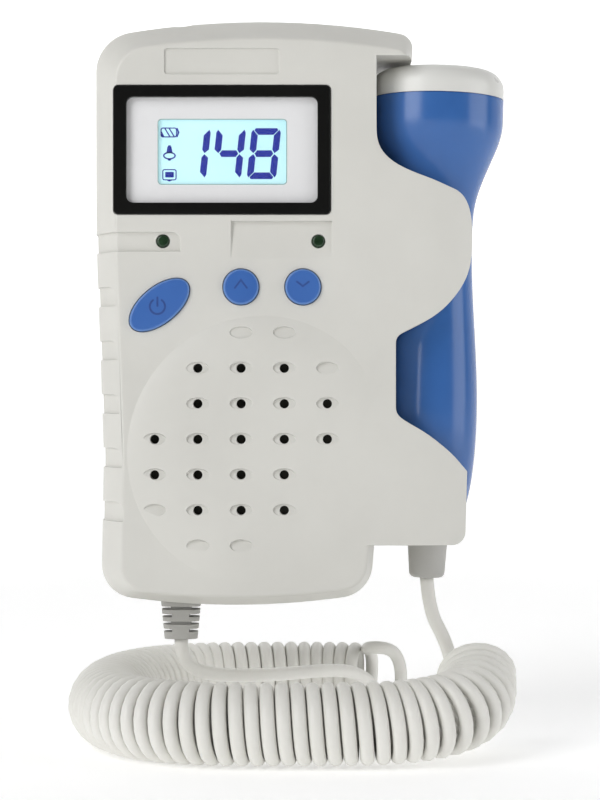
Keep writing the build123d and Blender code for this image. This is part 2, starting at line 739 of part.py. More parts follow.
def contacts():
    """A plate at each end of each cell, and a cone spring at its flat end."""
    pieces = []
    half = CONTACT_WIDTH / 2
    for (x, y), points_up in zip(cell_places(), (True, False)):
        top = block((x - half, x + half), (y - half, y + half), (BAY_TOP - CONTACT_THICK, BAY_TOP))
        low = block((x - half, x + half), (y - half, y + half), (BAY_BOTTOM, BAY_BOTTOM + CONTACT_THICK))
        wide, narrow = SPRING_RADII
        spring = Pos(0, 0, SPRING_HEIGHT / 2) * Cone(wide, narrow, SPRING_HEIGHT)
        spring -= Pos(0, 0, SPRING_HEIGHT / 2) * Cylinder(narrow - 1, SPRING_HEIGHT)
        if points_up:
            low += Pos(x, y, BAY_BOTTOM + CONTACT_THICK) * spring
        else:
            top += Pos(x, y, BAY_TOP - CONTACT_THICK) * Rot(180, 0, 0) * spring
        pieces += [top, low]
    return group(pieces)


def case_screw(place):
    seat = -SCREW_SEAT
    screw = rod(place, SCREW_HEAD[0], seat, seat + SCREW_HEAD[1])
    screw += rod(place, SCREW_SHANK, SPLIT_Y - SCREW_BITE, seat)
    slot = rounded(place, (3.2, 0.8), 0.2) + rounded(place, (0.8, 3.2), 0.2)
    return screw - prism(slot, seat + 1, seat + 3)


# ---------------------------------------------------------------- display, board, loudspeaker
def display_bezel():
    bezel = prism(rounded(BEZEL_CENTRE, BEZEL_SIZE, BEZEL_CORNER), FRONT_Y - BEZEL_PROUD, LEDGE_Y)
    window = rounded(BEZEL_CENTRE, WINDOW_SIZE, WINDOW_CORNER)
    return bezel - prism(window, FRONT_Y - 5, LEDGE_Y + 1)


def display_lens():
    return prism(rounded(BEZEL_CENTRE, WINDOW_SIZE, WINDOW_CORNER), LEDGE_Y - LENS_THICK, LEDGE_Y)


def lcd_mask():
    mask = prism(rounded(BEZEL_CENTRE, MASK_SIZE, BEZEL_CORNER), LEDGE_Y, MASK_BACK)
    return mask - prism(rounded(LCD_CENTRE, LCD_VIEW, 0.8), LEDGE_Y - 1, MASK_BACK + 1)


def lcd_panel():
    return prism(rounded(LCD_CENTRE, LCD_SIZE, 0.4), MASK_BACK, LCD_BACK)


def backlight_panel():
    return prism(rounded(LCD_CENTRE, LIGHT_SIZE, 0.6), LCD_BACK, BOARD_FRONT)


def main_board():
    main = box_sketch(BOARD_X + BOARD_Z, 1.5)
    left, right, top = BOARD_TAB
    tab = box_sketch((left, right, BOARD_Z[1] - 4, top), 1.0)
    return prism(main + tab, BOARD_FRONT, BOARD_BACK)


def speaker_frame():
    """Flange with a step for the membrane, tapered basket and back plate."""
    radius = SPEAKER_RADIUS
    back = SPEAKER_BACK
    flange = SPEAKER_FLANGE
    depth = SPEAKER_DEPTH
    lip = radius - 2
    bore = MAGNET_RADIUS - 3
    frame = turned([
        (bore, -depth), (back, -depth), (lip, -flange), (radius, -flange), (radius, 0), (lip + 0.6, 0),
        (lip + 0.6, -SPEAKER_STEP), (lip - SHEET, -SPEAKER_STEP), (lip - SHEET, -flange),
        (back - SHEET, SHEET - depth), (bore, SHEET - depth),
    ])
    return at_depth(INNER_FRONT) * (Pos(*SPEAKER_CENTRE) * frame)


def speaker_cone():
    """The thin membrane, glued to the step in the flange."""
    rim = SPEAKER_RADIUS - 1.5
    step = SPEAKER_STEP
    cone = turned([
        (0, -3.4), (4, -3.8), (rim - 3.1, -0.5 - step), (rim - 1.7, -step), (rim, -step), (rim, 0.4 - step),
        (rim - 1.9, 0.4 - step), (rim - 3.3, -step), (4, -3.2), (0, -2.8),
    ])
    return at_depth(INNER_FRONT) * (Pos(*SPEAKER_CENTRE) * cone)


def speaker_magnet():
    back = INNER_FRONT + SPEAKER_DEPTH
    magnet = rod(SPEAKER_CENTRE, MAGNET_RADIUS, back, back + MAGNET_DEPTH)
    return fillet(ring_edges(magnet, back + MAGNET_DEPTH), 0.6)


def headphone_jack():
    half = JACK_SIZE / 2
    jack = block((JACK_X - half, JACK_X + half), (BOARD_BACK, BOARD_BACK + JACK_SIZE), JACK_BODY)
    height = JACK_TOP - JACK_BODY[1]
    jack += Pos(JACK_X, JACK_Y, JACK_BODY[1] + height / 2) * Cylinder(JACK_BARREL, height)
    return jack - Pos(JACK_X, JACK_Y, JACK_TOP - JACK_DEPTH / 2) * Cylinder(JACK_BORE, JACK_DEPTH)


def unit_strain_relief():
    """A moulded sleeve: flange inside the foot, neck through it, ribbed tail below."""
    outside = bottom_edge(RELIEF_X) - RELIEF_GAP
    inside = outside + WALL + 3 * RELIEF_GAP
    wide, narrow = RELIEF_WIDTHS
    thick, thin = RELIEF_THICK
    tail = loft([
        Pos(0, 0, outside) * RectangleRounded(wide, thick, thick * 0.35),
        Pos(0, 0, RELIEF_BOTTOM) * RectangleRounded(narrow, thin, thin * 0.45),
    ])
    for i in range(RELIEF_GROOVES):
        z = outside - (i + 0.9) * RELIEF_PITCH
        groove = Box(wide + 2, thick + 2, RELIEF_PITCH * 0.4)
        core = Box(wide * 0.5, thick * 0.55, RELIEF_PITCH)
        if i % 2:
            core = Box(wide * 0.42, thick + 2, RELIEF_PITCH)
        tail -= Pos(0, 0, z) * (groove - core)
    neck = Pos(0, 0, outside - 0.5) * extrude(Rectangle(*RELIEF_NECK), amount=inside - outside + 1)
    flange = Pos(0, 0, inside) * extrude(
        RectangleRounded(RELIEF_FLANGE[0], RELIEF_FLANGE[1], 1), amount=RELIEF_FLANGE[2]
    )
    return Pos(RELIEF_X, SPLIT_Y, 0) * (tail + neck + flange)


# ---------------------------------------------------------------- probe
def probe_housing():
    outer = revolve(probe_half(0, RING_LEVEL, PROBE_BOTTOM), Axis.Z)
    floor = PROBE_BOTTOM + PROBE_WALL
    inner = revolve(probe_half(-PROBE_WALL, RING_LEVEL + 1, floor), Axis.Z)
    neck = Pos(0, 0, PROBE_BOTTOM) * Cylinder(CONE_NECK + CONE_GAP, 6)
    groove = Pos(0, 0, RING_LEVEL) * (Cylinder(HEAD_RADIUS + 1, 2 * RING_GROOVE)
                                      - Cylinder(HEAD_RADIUS - RING_GROOVE, 4))
    return PROBE * (outer - inner - neck - groove)


def cap_roof():
    return HEAD_TOP - CAP_CROWN - CAP_WALL


def cap_room():
    return HEAD_RADIUS - PROBE_WALL - SPIGOT_GAP - CAP_WALL


def probe_faceplate():
    """The white cap: crowned face, rounded shoulder and a spigot in the housing."""
    side = (HEAD_RADIUS, RING_LEVEL + CAP_SIDE)
    crown = HEAD_TOP - CAP_CROWN
    shoulder = (HEAD_RADIUS - CAP_ROUND, crown)
    inside = HEAD_RADIUS - PROBE_WALL - SPIGOT_GAP
    low = RING_LEVEL - SPIGOT
    turn = 1 - math.sqrt(0.5)
    bow = (shoulder[0] ** 2 + CAP_CROWN**2) / (2 * CAP_CROWN)
    halfway = (shoulder[0] / 2, HEAD_TOP - bow + math.sqrt(bow**2 - (shoulder[0] / 2) ** 2))
    knee = (HEAD_RADIUS - CAP_ROUND * turn, crown - (crown - side[1]) * turn)
    outline = make_face([
        Line((cap_room(), low), (inside, low)),
        Line((inside, low), (inside, RING_LEVEL)),
        Line((inside, RING_LEVEL), (HEAD_RADIUS, RING_LEVEL)),
        Line((HEAD_RADIUS, RING_LEVEL), side),
        ThreePointArc(side, knee, shoulder),
        ThreePointArc(shoulder, halfway, (0, HEAD_TOP)),
        Line((0, HEAD_TOP), (0, cap_roof())),
        Line((0, cap_roof()), (cap_room(), cap_roof())),
        Line((cap_room(), cap_roof()), (cap_room(), low)),
    ])
    return PROBE * revolve(Plane.XZ * outline, Axis.Z)


def transducer_crystals():
    """Two half discs, one to send and one to receive."""
    disc = Pos(0, 0, cap_roof() - CRYSTAL_THICK / 2) * Cylinder(CRYSTAL_RADIUS, CRYSTAL_THICK)
    split = Pos(0, 0, cap_roof()) * Box(CRYSTAL_SPLIT, FAR, FAR)
    return PROBE * group([disc - split])


def crystal_backing():
    roof = cap_roof() - CRYSTAL_THICK
    low = RING_LEVEL - SPIGOT
    return PROBE * (Pos(0, 0, (roof + low) / 2) * Cylinder(cap_room(), roof - low))


def probe_board():
    wide = 2 * (WAIST[0] - PROBE_WALL - PROBE_BOARD_GAP)
    top = RING_LEVEL - SPIGOT
    bottom = PROBE_BOARD_END
    return PROBE * (Pos(0, 0, (top + bottom) / 2) * Box(wide, PROBE_BOARD_THICK, top - bottom))


def probe_strain_relief():
    wide, narrow = CONE_RADII
    floor = PROBE_BOTTOM + PROBE_WALL
    length = PROBE_BOTTOM - CONE_BOTTOM
    cone = Pos(0, 0, (PROBE_BOTTOM + CONE_BOTTOM) / 2) * Cone(narrow, wide, length)
    cone = fillet(cone.edges().sort_by(Axis.Z)[0], 1.2)
    cone += Pos(0, 0, (PROBE_BOTTOM + floor) / 2) * Cylinder(CONE_NECK, floor - PROBE_BOTTOM + 0.4)
    radius, thick = CONE_FLANGE
    cone += Pos(0, 0, floor + thick / 2) * Cylinder(radius, thick)
    return PROBE * cone


# ---------------------------------------------------------------- cord
def route(name, points, radius):
    """A tube along straight runs and tangent arcs, as large as the runs allow."""
    radii = []
    for a, b, c in zip(points, points[1:], points[2:]):
        before = Vector(*b) - Vector(*a)
        after = Vector(*c) - Vector(*b)
        turn = math.radians(before.get_angle(after))
        radii.append(0.45 * min(before.length, after.length) / math.tan(turn / 2))
    path = FilletPolyline(*points, radius=radii)
    first = (Vector(*points[1]) - Vector(*points[0])).normalized()
    tube = sweep(Plane(origin=points[0], z_dir=first) * Circle(radius), path=path)
    expected = math.pi * radius**2 * path.length
    print(name, "radii", [round(r, 1) for r in radii], "length", round(path.length, 1))
    print(name, "volume", round(tube.volume, 1), "expected", round(expected, 1))
    return tube


PROBE_EXIT = (PROBE * Pos(0, 0, CONE_BOTTOM)).position
BELOW_EXIT = (PROBE * Pos(0, 0, CONE_BOTTOM - 6)).position
LEAD_ROUTE = [
    (RELIEF_X, SPLIT_Y, RELIEF_BOTTOM),
    (RELIEF_X, SPLIT_Y, RELIEF_BOTTOM - 4.5),
    (-24.6, -16.2, -84.0),
    (-17.0, -12.6, -85.6),
    (-5.0, -5.0, -86.2),
    (8.0, 6.5, -86.8),
    (19.5, 14.0, -87.8),
    (26.8, 20.5, -89.8),
    (24.5, 28.03, COIL_Z),
    (17.0, 28.5, COIL_Z),
]
COIL_ROUTE = [
    (17.0, 28.5, COIL_Z),
    (-7.0, 30.0, COIL_Z),
    (-32.0, 28.0, COIL_Z),
    (-46.8, 8.0, COIL_Z),
    (-46.8, -27.0, COIL_Z),
    (-30.0, -47.0, COIL_Z),
    (0.0, -48.2, COIL_Z),
    (26.5, -46.5, COIL_Z),
    (41.3, -31.0, COIL_Z),
    (43.0, -11.0, COIL_Z),
    (42.2, 6.0, COIL_Z),
]
TAIL_ROUTE = [
    tuple(PROBE_EXIT),
    tuple(BELOW_EXIT),
    (31.0, -13.8, -74.6),
    (34.2, -4.0, -79.6),
    (35.8, 7.0, -82.8),
    (39.6, 12.9, -87.2),
    (41.98, 10.7, COIL_Z),
    (42.2, 6.0, COIL_Z),
]


# ---------------------------------------------------------------- all pieces
def main():
    os.makedirs("parts", exist_ok=True)
    both = housing()
    pieces = {
        "front_shell": front_shell(both),
        "rear_shell": rear_shell(both),
        "display_bezel": display_bezel(),
        "display_lens": display_lens(),
        "lcd_mask": lcd_mask(),
        "lcd_panel": lcd_panel(),
        "backlight_panel": backlight_panel(),
        "main_board": main_board(),
        "tact_switches": group([tact_switch(centre) for _, centre in BUTTONS.values()]),
        "speaker_frame": speaker_frame(),
        "speaker_cone": speaker_cone(),
        "speaker_magnet": speaker_magnet(),
        "power_led": lamp(POWER_LED, POWER_LED_FLOOR),
        "signal_led": lamp(SIGNAL_LED, SIGNAL_LED_FLOOR),
        "battery_cover": battery_cover(rounded_body()),
        "batteries": group([cell(place, up) for place, up in zip(cell_places(), (True, False))]),
        "battery_contacts": contacts(),
        "headphone_jack": headphone_jack(),
        "case_screws": group([case_screw(place) for place in SCREW_PLACES]),
        "unit_strain_relief": unit_strain_relief(),
        "probe_housing": probe_housing(),
        "probe_faceplate": probe_faceplate(),
        "transducer_crystals": transducer_crystals(),
        "crystal_backing": crystal_backing(),
        "probe_board": probe_board(),
        "probe_strain_relief": probe_strain_relief(),
        "cord_lead": route("cord_lead", LEAD_ROUTE, CORD_RADIUS),
        "curly_cord": route("curly_cord", COIL_ROUTE, COIL_RADIUS),
        "cord_tail": route("cord_tail", TAIL_ROUTE, CORD_RADIUS),
    }
    for name, (sketch, _) in BUTTONS.items():
        pieces[name] = button(sketch)
    for name, piece in pieces.items():
        export_step(piece, f"parts/{name}.step")


main()
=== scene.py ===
"""Looks of a pocket fetal doppler monitor with its docked probe and curly cord."""

import math

import bpy
import numpy as np
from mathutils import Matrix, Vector


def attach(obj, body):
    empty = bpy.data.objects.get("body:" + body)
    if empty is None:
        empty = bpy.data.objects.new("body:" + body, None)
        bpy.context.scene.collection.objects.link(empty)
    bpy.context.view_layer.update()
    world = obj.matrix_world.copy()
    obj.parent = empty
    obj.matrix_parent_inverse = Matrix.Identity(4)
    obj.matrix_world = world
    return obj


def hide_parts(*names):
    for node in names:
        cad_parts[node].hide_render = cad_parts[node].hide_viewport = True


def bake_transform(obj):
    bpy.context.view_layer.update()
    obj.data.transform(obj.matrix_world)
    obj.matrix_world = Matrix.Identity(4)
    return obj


MM = 0.001
FLOOR = -0.1011  # height of the table that the coil lies on, in metres

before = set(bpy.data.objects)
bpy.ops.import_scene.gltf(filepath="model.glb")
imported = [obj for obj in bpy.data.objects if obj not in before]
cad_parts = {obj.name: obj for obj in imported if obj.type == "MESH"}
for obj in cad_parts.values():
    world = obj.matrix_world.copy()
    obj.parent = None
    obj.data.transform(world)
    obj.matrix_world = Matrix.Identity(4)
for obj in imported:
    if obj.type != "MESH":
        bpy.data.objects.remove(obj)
bpy.context.view_layer.update()
scene = bpy.context.scene


# ---------------------------------------------------------------- materials
def linear(rgb):
    """A display colour, 0 to 255, as the linear colour that the shader takes."""
    parts = [c / 255 for c in rgb]
    return tuple(c / 12.92 if c <= 0.04045 else ((c + 0.055) / 1.055) ** 2.4 for c in parts)


class Surface:
    """One procedural material: a colour pattern, a gloss pattern and a fine relief."""

    def __init__(self, name, **fixed):
        self.mat = bpy.data.materials.new(name)
        self.mat.use_nodes = True
        self.tree = self.mat.node_tree
        self.shader = self.tree.nodes["Principled BSDF"]
        for socket, value in fixed.items():
            self.shader.inputs[socket.replace("_", " ")].default_value = value
        self.place = self.add("ShaderNodeTexCoord").outputs["Object"]

    def add(self, kind, **settings):
        """A new node of this kind, with these settings."""
        node = self.tree.nodes.new(kind)
        for key, value in settings.items():
            setattr(node, key, value)
        return node

    def link(self, a, b):
        """A wire from an output to an input."""
        self.tree.links.new(a, b)

    def coordinates(self, stretch):
        """Object coordinates, scaled along each axis where a stretch is given."""
        if not stretch:
            return self.place
        node = self.add("ShaderNodeMapping")
        node.inputs["Scale"].default_value = stretch
        self.link(self.place, node.inputs["Vector"])
        return node.outputs["Vector"]

    def noise(self, scale, detail=3.0, rough=0.5, stretch=None):
        """Cloudy values from 0 to 1; the scale counts clouds in a metre."""
        node = self.add("ShaderNodeTexNoise")
        node.inputs["Scale"].default_value = scale
        node.inputs["Detail"].default_value = detail
        node.inputs["Roughness"].default_value = rough
        self.link(self.coordinates(stretch), node.inputs["Vector"])
        return node.outputs["Fac"]

    def cells(self, scale, feature="F1", stretch=None):
        """Distances inside a pattern of cells."""
        node = self.add("ShaderNodeTexVoronoi", feature=feature)
        node.inputs["Scale"].default_value = scale
        self.link(self.coordinates(stretch), node.inputs["Vector"])
        return node.outputs["Distance"]

    def height(self):
        """Height in the object's own frame, in metres."""
        node = self.add("ShaderNodeSeparateXYZ")
        self.link(self.place, node.inputs[0])
        return node.outputs["Z"]

    def ramp(self, fac, stops, mode="LINEAR"):
        """A colour for each value, from (value, display colour) stops."""
        node = self.add("ShaderNodeValToRGB")
        node.color_ramp.interpolation = mode
        elements = node.color_ramp.elements
        while len(elements) < len(stops):
            elements.new(0.5)
        for element, (position, rgb) in zip(elements, stops):
            element.position = position
            element.color = (*linear(rgb), 1.0)
        self.link(fac, node.inputs["Fac"])
        return node.outputs["Color"]

    def spread(self, value, low, high, to_low, to_high):
        """The value, with low to high mapped to another range and held past its ends."""
        node = self.add("ShaderNodeMapRange")
        for index, number in enumerate((low, high, to_low, to_high), start=1):
            node.inputs[index].default_value = number
        self.link(value, node.inputs[0])
        return node.outputs[0]

    def mix(self, fac, a, b):
        """From a to b by the factor; colours are sockets or display colours."""
        node = self.add("ShaderNodeMix", data_type="RGBA", blend_type="MIX")
        if isinstance(fac, float):
            node.inputs[0].default_value = fac
        else:
            self.link(fac, node.inputs[0])
        for socket, colour in ((node.inputs[6], a), (node.inputs[7], b)):
            if isinstance(colour, tuple):
                socket.default_value = (*linear(colour), 1.0)
            else:
                self.link(colour, socket)
        return node.outputs[2]

    def dot(self, a, b):
        """Scalar product of a direction with another, a socket or three numbers."""
        node = self.add("ShaderNodeVectorMath", operation="DOT_PRODUCT")
        self.link(a, node.inputs[0])
        if isinstance(b, tuple):
            node.inputs[1].default_value = b
        else:
            self.link(b, node.inputs[1])
        return node.outputs["Value"]

    def edges(self, radius):
        """0 on flat faces and up to 1 on outer edges and inner corners."""
        bevel = self.add("ShaderNodeBevel", samples=4)
        bevel.inputs["Radius"].default_value = radius
        true = self.add("ShaderNodeNewGeometry")
        turned = self.dot(bevel.outputs["Normal"], true.outputs["Normal"])
        return self.spread(turned, 0.995, 0.86, 0.0, 1.0)

    def facing(self, way):
        """1 where the surface looks this way, in the object's own frame."""
        true = self.add("ShaderNodeNewGeometry")
        turn = self.add(
            "ShaderNodeVectorTransform",
            vector_type="NORMAL", convert_from="WORLD", convert_to="OBJECT",
        )
        self.link(true.outputs["Normal"], turn.inputs[0])
        return self.dot(turn.outputs[0], way)

    def colour(self, socket):
        """The base colour."""
        self.link(socket, self.shader.inputs["Base Color"])

    def glow(self, socket):
        """The base colour, given off as light too."""
        self.colour(socket)
        self.link(socket, self.shader.inputs["Emission Color"])

    def gloss(self, value, low, high):
        """Roughness from low to high, as the pattern goes from its dark to its light parts."""
        self.link(self.spread(value, 0.3, 0.7, low, high), self.shader.inputs["Roughness"])

    def relief(self, heights, soften=0.0):
        """Bumps from (height, size in metres) pairs, over edges softened by a radius."""
        normal = None
        if soften:
            bevel = self.add("ShaderNodeBevel", samples=6)
            bevel.inputs["Radius"].default_value = soften
            normal = bevel.outputs["Normal"]
        for height, size in heights:
            bump = self.add("ShaderNodeBump")
            bump.inputs["Distance"].default_value = size
            self.link(height, bump.inputs["Height"])
            if normal:
                self.link(normal, bump.inputs["Normal"])
            normal = bump.outputs["Normal"]
        self.link(normal, self.shader.inputs["Normal"])


def moulded(
    name, light, dark, worn, gloss=(0.34, 0.46), grain=5200.0, depth=0.000012, soften=0.0003,
    rim=(0.0005, 0.45), lit_rim=0.0, **fixed
):
    """Injection-moulded plastic: faint cloudiness, a spark-eroded grain, rubbed edges and, where
    asked, a painted highlight round a front face.

    rim is the radius and strength of the rubbed edges, or None; the next argument is the
    strength of a painted highlight, a paler rim round a front face.
    """
    s = Surface(name, **fixed)
    cloud = s.noise(38.0, detail=4.0, rough=0.55)
    flow = s.noise(220.0, detail=2.0, stretch=(1.0, 1.0, 0.35))
    body = s.ramp(cloud, [(0.32, dark), (0.68, light)])
    body = s.mix(s.spread(flow, 0.35, 0.75, 0.0, 0.22), body, light)
    if rim:
        radius, strength = rim
        body = s.mix(s.spread(s.edges(radius), 0.0, 1.0, 0.0, strength), body, worn)
    # painted highlight: paler colour where the surface turns away from the front, round the
    # rounded rim
    if lit_rim:
        body = s.mix(s.spread(s.facing((0, -1, 0)), 0.985, 0.8, 0.0, lit_rim), body, worn)
    s.colour(body)
    s.gloss(s.noise(90.0, detail=5.0, rough=0.6), *gloss)
    fine = s.noise(grain, detail=2.0, rough=0.6)
    s.relief([(fine, depth), (s.noise(60.0, detail=2.0), 0.00004)], soften)
    return s.mat


def metal(name, light, dark, gloss=(0.25, 0.4), stretch=(1.0, 1.0, 12.0)):
    """Bright metal with drawing lines across the stretch and a little tarnish."""
    s = Surface(name, Metallic=1.0)
    lines = s.noise(900.0, rough=0.6, stretch=stretch)
    stain = s.ramp(s.noise(150.0, detail=4.0, rough=0.6), [(0.3, dark), (0.62, light)])
    s.colour(s.mix(s.spread(lines, 0.3, 0.7, 0.0, 0.5), stain, light))
    s.gloss(lines, *gloss)
    s.relief([(lines, 0.00001)], 0.0001)
    return s.mat


def speckled(name, noise, dark, light, gloss, depth=None, **fixed):
    """One noise (scale, detail, roughness) gives the colour, the gloss and any relief."""
    s = Surface(name, **fixed)
    speck = s.noise(*noise)
    s.colour(s.ramp(speck, [(0.3, dark), (0.7, light)]))
    s.gloss(speck, *gloss)
    if depth:
        s.relief([(speck, depth)])
    return s.mat


MOULDED = {
    "housing": {"light": (216, 215, 209), "dark": (210, 209, 203), "worn": (231, 230, 226)},
    "cover": {"light": (214, 213, 207), "dark": (208, 207, 201), "worn": (230, 229, 225)},
    "bezel_black": {
        "light": (22, 22, 21), "dark": (16, 16, 16), "worn": (40, 40, 39),
        "gloss": (0.16, 0.24), "grain": 900.0, "depth": 0.000004, "Specular_IOR_Level": 0.12,
    },
    "mask_grey": {
        "light": (233, 233, 234), "dark": (229, 229, 230), "worn": (240, 240, 241),
        "gloss": (0.5, 0.6), "soften": 0.0001,
    },
    # the keys' palest colour paints a highlight round their rounded rims
    "button_blue": {
        "light": (58, 106, 180), "dark": (50, 97, 171), "worn": (112, 152, 210),
        "gloss": (0.3, 0.42), "grain": 3800.0, "rim": None, "lit_rim": 0.6,
    },
    "probe_blue": {
        "light": (58, 106, 174), "dark": (52, 98, 164), "worn": (98, 138, 194),
        "gloss": (0.18, 0.24), "grain": 4200.0, "depth": 0.000006, "soften": 0.0, "rim": None,
    },
    "probe_white": {
        "light": (223, 223, 219), "dark": (217, 217, 213), "worn": (235, 235, 232),
        "gloss": (0.26, 0.36), "grain": 3000.0, "soften": 0.0, "rim": None,
    },
    "relief_grey": {
        "light": (182, 181, 177), "dark": (171, 170, 166), "worn": (200, 199, 195),
        "gloss": (0.5, 0.64), "grain": 3000.0, "depth": 0.00002,
    },
    "speaker_metal": {
        "light": (40, 40, 38), "dark": (30, 30, 29), "worn": (70, 70, 68),
        "gloss": (0.4, 0.55), "grain": 2400.0,
    },
    "jack": {
        "light": (30, 30, 30), "dark": (22, 22, 22), "worn": (56, 56, 56),
        "gloss": (0.35, 0.5),
    },
    "switch": {
        "light": (58, 58, 60), "dark": (44, 44, 46), "worn": (92, 92, 94),
        "gloss": (0.35, 0.5),
    },
}
METALS = {
    "magnet": {"light": (132, 134, 138), "dark": (98, 100, 104), "gloss": (0.35, 0.55)},
    "contact": {"light": (206, 205, 200), "dark": (170, 168, 160), "gloss": (0.18, 0.32)},
    "screw": {"light": (190, 192, 196), "dark": (150, 152, 156), "stretch": (1.0, 14.0, 1.0)},
}
SPECKLED = {
    "lens": {
        "noise": (120.0, 5.0, 0.65), "dark": (244, 247, 249), "light": (252, 253, 254),
        "gloss": (0.03, 0.08),
        "Roughness": 0.04, "Alpha": 0.02, "IOR": 1.49, "Specular_IOR_Level": 0.15,
    },
    "speaker_paper": {
        "noise": (1500.0, 5.0, 0.7), "dark": (22, 22, 18), "light": (44, 43, 36),
        "gloss": (0.75, 0.95), "depth": 0.00005, "Roughness": 0.85,
    },
    "led_green": {
        "noise": (900.0, 3.0, 0.5), "dark": (20, 46, 24), "light": (42, 74, 44),
        "gloss": (0.14, 0.24), "depth": 0.00002,
        "Roughness": 0.18, "Transmission_Weight": 0.25, "IOR": 1.5,
    },
    "backing": {
        "noise": (1100.0, 5.0, 0.7), "dark": (64, 66, 68), "light": (92, 94, 96),
        "gloss": (0.5, 0.7), "depth": 0.00004, "Roughness": 0.6,
    },
    "segment": {
        "noise": (900.0, 2.0, 0.5), "dark": (20, 36, 152), "light": (26, 44, 166),
        "gloss": (0.55, 0.65), "Roughness": 0.6, "Specular_IOR_Level": 0.08,
    },
    "outline": {
        "noise": (900.0, 2.0, 0.5), "dark": (128, 164, 158), "light": (142, 176, 170),
        "gloss": (0.45, 0.55), "Roughness": 0.5,
    },
    "symbol": {
        "noise": (1200.0, 3.0, 0.5), "dark": (34, 66, 132), "light": (42, 76, 146),
        "gloss": (0.45, 0.6), "Roughness": 0.5,
    },
}
CELL_FOOT, CELL_TOP = -0.0595, -0.0075  # heights of the two cells' ends, in metres


def make_materials():
    """Every material of the part, by its name."""
    made = {}
    for maker, looks in ((moulded, MOULDED), (metal, METALS), (speckled, SPECKLED)):
        for name, look in looks.items():
            made[name] = maker(name, **look)

    s = Surface("lcd", Roughness=0.3, Emission_Strength=0.24, Specular_IOR_Level=0.2)
    cloud = s.noise(55.0, detail=2.0)
    s.glow(s.ramp(cloud, [(0.3, (190, 236, 243)), (0.7, (199, 241, 247))]))
    s.relief([(s.noise(3000.0, detail=1.0), 0.000003)])
    made["lcd"] = s.mat

    s = Surface("backlight", Roughness=0.4, Emission_Strength=0.3)
    dots = s.cells(1400.0)
    s.glow(s.ramp(dots, [(0.1, (240, 252, 254)), (0.6, (214, 240, 246))]))
    s.relief([(dots, 0.00002)])
    made["backlight"] = s.mat

    s = Surface("board", Roughness=0.35)
    weave = s.noise(2600.0, detail=2.0)
    mask = s.ramp(s.noise(70.0), [(0.3, (14, 74, 42)), (0.7, (24, 96, 56))])
    tracks = s.cells(420.0, "DISTANCE_TO_EDGE", stretch=(1.0, 0.05, 1.6))
    track, ground = (64, 128, 74), (18, 84, 48)
    copper = s.ramp(tracks, [(0.0, track), (0.055, track), (0.075, ground)], "CONSTANT")
    s.colour(s.mix(0.6, mask, copper))
    s.gloss(weave, 0.3, 0.45)
    s.relief([(s.spread(tracks, 0.05, 0.09, 1.0, 0.0), 0.00003), (weave, 0.00001)])
    made["board"] = s.mat

    s = Surface("cell", Roughness=0.3)
    foil = s.noise(300.0, stretch=(1.0, 1.0, 0.1))
    steel, black, copper, cap = (188, 190, 192), (36, 38, 42), (190, 132, 66), (196, 198, 200)
    band = s.ramp(
        s.spread(s.height(), CELL_FOOT, CELL_TOP, 0.0, 1.0),
        [(0.0, steel), (0.035, black), (0.72, copper), (0.965, cap)],
        "CONSTANT",
    )
    s.colour(s.mix(s.spread(foil, 0.3, 0.7, 0.0, 0.18), band, (235, 235, 235)))
    s.gloss(foil, 0.24, 0.36)
    s.relief([(foil, 0.00001)], 0.0002)
    made["cell"] = s.mat

    s = Surface("crystal", Roughness=0.45)
    bits = s.cells(1800.0)
    s.colour(s.ramp(bits, [(0.05, (206, 196, 160)), (0.6, (226, 219, 190))]))
    s.gloss(s.noise(500.0), 0.35, 0.55)
    s.relief([(bits, 0.00001)], 0.0001)
    made["crystal"] = s.mat

    s = Surface("cord_white", Roughness=0.4)
    cloud = s.noise(48.0, detail=4.0, rough=0.6)
    fine = s.noise(700.0, rough=0.6)
    skin = s.ramp(cloud, [(0.3, (227, 226, 220)), (0.7, (233, 232, 227))])
    s.colour(s.mix(s.spread(fine, 0.4, 0.8, 0.0, 0.18), skin, (221, 219, 211)))
    s.gloss(fine, 0.34, 0.48)
    s.relief([(fine, 0.00003), (s.noise(4500.0, detail=1.0), 0.00001)])
    made["cord_white"] = s.mat
    return made


materials = make_materials()

# every node comes with its slot's name as its material, and takes the look of that name
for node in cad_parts.values():
    slot_name = node.data.materials[0].name.split(".")[0]
    node.data.materials.clear()
    node.data.materials.append(materials[slot_name])
    for face in node.data.polygons:
        face.material_index = 0


# ---------------------------------------------------------------- small flat pieces
PRINT = 0.05  # thickness of the signs and digits, in mm


def add_piece(name, verts, faces):
    """A new object from vertices in metres and faces."""
    mesh = bpy.data.meshes.new(name)
    mesh.from_pydata(verts, [], faces)
    obj = bpy.data.objects.new(name, mesh)
    scene.collection.objects.link(obj)
    return obj


def anticlockwise(loop):
    """The loop, turned round where it runs clockwise in the front view."""
    area = sum(a[0] * b[1] - b[0] * a[1] for a, b in zip(loop, loop[1:] + loop[:1])) / 2
    return loop if area > 0 else loop[::-1]


